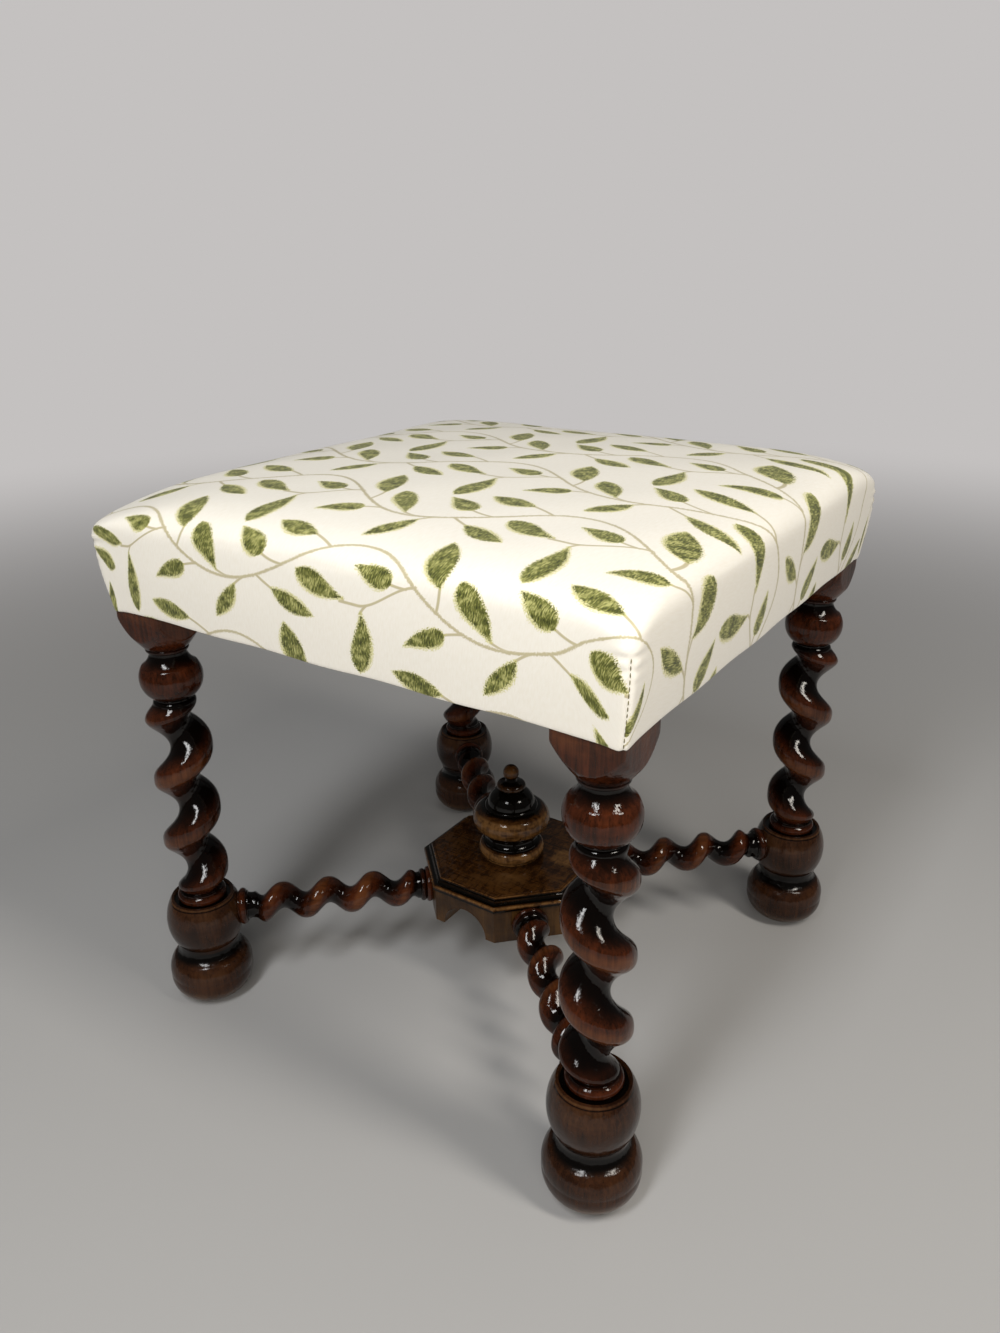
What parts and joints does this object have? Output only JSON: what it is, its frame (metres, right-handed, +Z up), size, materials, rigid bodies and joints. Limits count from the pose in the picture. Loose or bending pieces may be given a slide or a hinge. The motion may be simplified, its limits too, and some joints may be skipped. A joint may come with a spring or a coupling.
{
  "type": "barley twist stool",
  "caption": "Square stool with a stuffed leaf-patterned seat on twisted legs and ball feet, tied by a twisted cross stretcher that carries an octagonal platform and a turned finial.",
  "frame": {"origin": "on the floor, under the middle of the seat", "axes": "+Z up, -Y towards the front rail, +X to the right seen from the front"},
  "size_m": [0.5216, 0.5216, 0.5246],
  "materials": {
    "polished_wood": "dark polished walnut-coloured hardwood, glossy",
    "frame_wood": "plain sawn hardwood",
    "steel": "dull steel",
    "webbing": "jute webbing",
    "blued_tacks": "blued steel tacks",
    "hessian": "plain hessian",
    "stuffing": "hair and wadding",
    "cover_fabric": "ivory satin weave with woven olive leaves",
    "lining_fabric": "dark lining cloth"
  },
  "bodies": {
    "root": {"leg_front_left": "polished_wood", "leg_front_right": "polished_wood", "leg_back_left": "polished_wood", "leg_back_right": "polished_wood", "foot_front_left": "polished_wood", "foot_front_right": "polished_wood", "foot_back_left": "polished_wood", "foot_back_right": "polished_wood", "stretcher_front_left": "polished_wood", "stretcher_front_right": "polished_wood", "stretcher_back_left": "polished_wood", "stretcher_back_right": "polished_wood", "platform_top": "polished_wood", "platform_block": "polished_wood", "finial": "polished_wood", "rail_front": "frame_wood", "rail_right": "frame_wood", "rail_back": "frame_wood", "rail_left": "frame_wood", "corner_block_front_left": "frame_wood", "corner_block_front_right": "frame_wood", "corner_block_back_left": "frame_wood", "corner_block_back_right": "frame_wood", "corner_block_screws": "steel", "webbing_front": "webbing", "webbing_middle": "webbing", "webbing_back": "webbing", "webbing_left": "webbing", "webbing_centre": "webbing", "webbing_right": "webbing", "webbing_tacks": "blued_tacks", "hessian_cloth": "hessian", "seat_padding": "stuffing", "seat_cover": "cover_fabric", "cover_tacks": "blued_tacks", "bottom_cloth": "lining_fabric", "bottom_cloth_tacks": "blued_tacks"}
  },
  "joints": []
}
